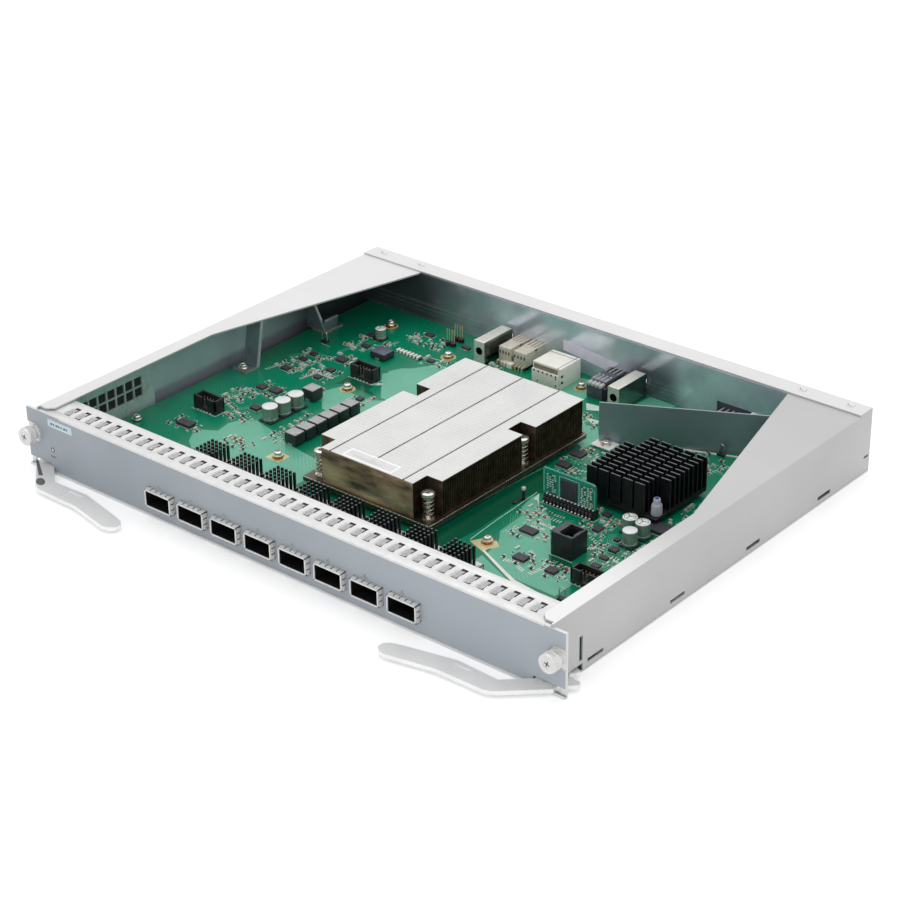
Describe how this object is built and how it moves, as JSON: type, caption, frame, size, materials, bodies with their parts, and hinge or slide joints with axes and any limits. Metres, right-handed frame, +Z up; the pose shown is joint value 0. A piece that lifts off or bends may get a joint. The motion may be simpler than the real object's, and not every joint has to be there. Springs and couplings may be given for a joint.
{
  "type": "switch line card",
  "caption": "Open-top network switch line card in a sheet steel tray, with module cages, finned heatsinks, ejector levers and captive screws.",
  "frame": {"origin": "middle of the front panel's front face in X, the plane of that face in Y, the underside of the tray in Z", "axes": "+X along the front panel to the right as seen from the front, +Y from the front panel towards the backplane end, +Z up from the tray floor"},
  "size_m": [0.4016, 0.3302, 0.0419],
  "materials": {
    "case_steel": "satin light grey",
    "rivet_steel": "plain",
    "panel_paint": "satin grey-blue",
    "finger_steel": "bright",
    "cage_steel": "nickel plated",
    "black_plastic": "matte",
    "clear_plastic": "clear",
    "board_laminate": "solder resist",
    "standoff_brass": "nickel flashed",
    "screw_steel": "bright",
    "sink_nickel": "nickel plated copper",
    "sink_aluminium": "bare folded sheet",
    "chip_lid": "nickel plated lid",
    "spring_steel": "bright wire",
    "black_anodised": "black anodised",
    "white_plastic": "natural",
    "chip_black": "moulded",
    "lever_steel": "satin light grey",
    "ferrule_steel": "bright",
    "bracket_steel": "galvanised",
    "baffle_steel": "galvanised",
    "guide_zinc": "die cast",
    "ivory_plastic": "moulded",
    "cream_plastic": "moulded",
    "dark_plastic": "moulded",
    "can_aluminium": "bare can",
    "ferrite": "moulded powder core",
    "card_laminate": "solder resist"
  },
  "bodies": {
    "case": {"bottom_tray": "case_steel", "left_side_cover": "case_steel", "right_side_cover": "case_steel", "rear_frame": "case_steel", "frame_rivets": "rivet_steel", "front_panel": "panel_paint", "emi_finger_strip": "finger_steel", "port_connectors": "black_plastic", "light_pipes": "clear_plastic", "main_board": "board_laminate", "board_standoffs": "standoff_brass", "board_screws": "screw_steel", "heatsink_base": "sink_nickel", "heatsink_fins": "sink_aluminium", "switch_chip": "chip_lid", "heatsink_screws": "screw_steel", "heatsink_springs": "spring_steel", "pin_fin_heatsink": "black_anodised", "push_pins": "white_plastic", "control_chip": "chip_black", "pivot_studs": "rivet_steel", "screw_ferrules": "ferrule_steel", "wall_brackets": "bracket_steel", "panel_ears": "case_steel", "air_baffle": "baffle_steel", "left_guide_block": "guide_zinc", "right_guide_block": "guide_zinc", "signal_connector": "ivory_plastic", "power_connector": "cream_plastic", "coax_connector": "dark_plastic", "backplane_connectors": "dark_plastic", "capacitors": "can_aluminium", "inductors": "ferrite", "box_headers": "black_plastic", "modular_jack": "black_plastic", "mezzanine_card": "card_laminate", "card_socket": "black_plastic", "chip_packages": "chip_black", "port_cage_1": "cage_steel", "port_heatsink_1": "black_anodised", "port_cage_2": "cage_steel", "port_heatsink_2": "black_anodised", "port_cage_3": "cage_steel", "port_heatsink_3": "black_anodised", "port_cage_4": "cage_steel", "port_heatsink_4": "black_anodised", "port_cage_5": "cage_steel", "port_heatsink_5": "black_anodised", "port_cage_6": "cage_steel", "port_heatsink_6": "black_anodised", "port_cage_7": "cage_steel", "port_heatsink_7": "black_anodised", "port_cage_8": "cage_steel", "port_heatsink_8": "black_anodised"},
    "left_lever": {"left_ejector": "lever_steel"},
    "right_lever": {"right_ejector": "lever_steel"},
    "left_spring": {"left_captive_spring": "spring_steel"},
    "right_spring": {"right_captive_spring": "spring_steel"},
    "left_screw": {"left_captive_screw": "screw_steel"},
    "right_screw": {"right_captive_screw": "screw_steel"}
  },
  "joints": [
    {"name": "left_ejector_swing", "type": "hinge", "parent": "case", "child": "left_lever", "pos_m": [-0.184, 0.006, 0.00265], "axis": [0, 0, -1], "range_deg": [0, 40]},
    {"name": "right_ejector_swing", "type": "hinge", "parent": "case", "child": "right_lever", "pos_m": [0.184, 0.006, 0.00265], "axis": [0, 0, 1], "range_deg": [0, 40]},
    {"name": "left_screw_push", "type": "slide", "parent": "case", "child": "left_spring", "axis": [0, 1, 0], "range_m": [0, 0.003], "stiffness_N_per_m": 250, "deforming": ["left_captive_spring"]},
    {"name": "left_screw_turn", "type": "hinge", "parent": "left_spring", "child": "left_screw", "pos_m": [-0.1939, 0, 0.0222], "axis": [0, 1, 0], "continuous": true},
    {"name": "right_screw_push", "type": "slide", "parent": "case", "child": "right_spring", "axis": [0, 1, 0], "range_m": [0, 0.003], "stiffness_N_per_m": 250, "deforming": ["right_captive_spring"]},
    {"name": "right_screw_turn", "type": "hinge", "parent": "right_spring", "child": "right_screw", "pos_m": [0.1939, 0, 0.0222], "axis": [0, 1, 0], "continuous": true}
  ]
}
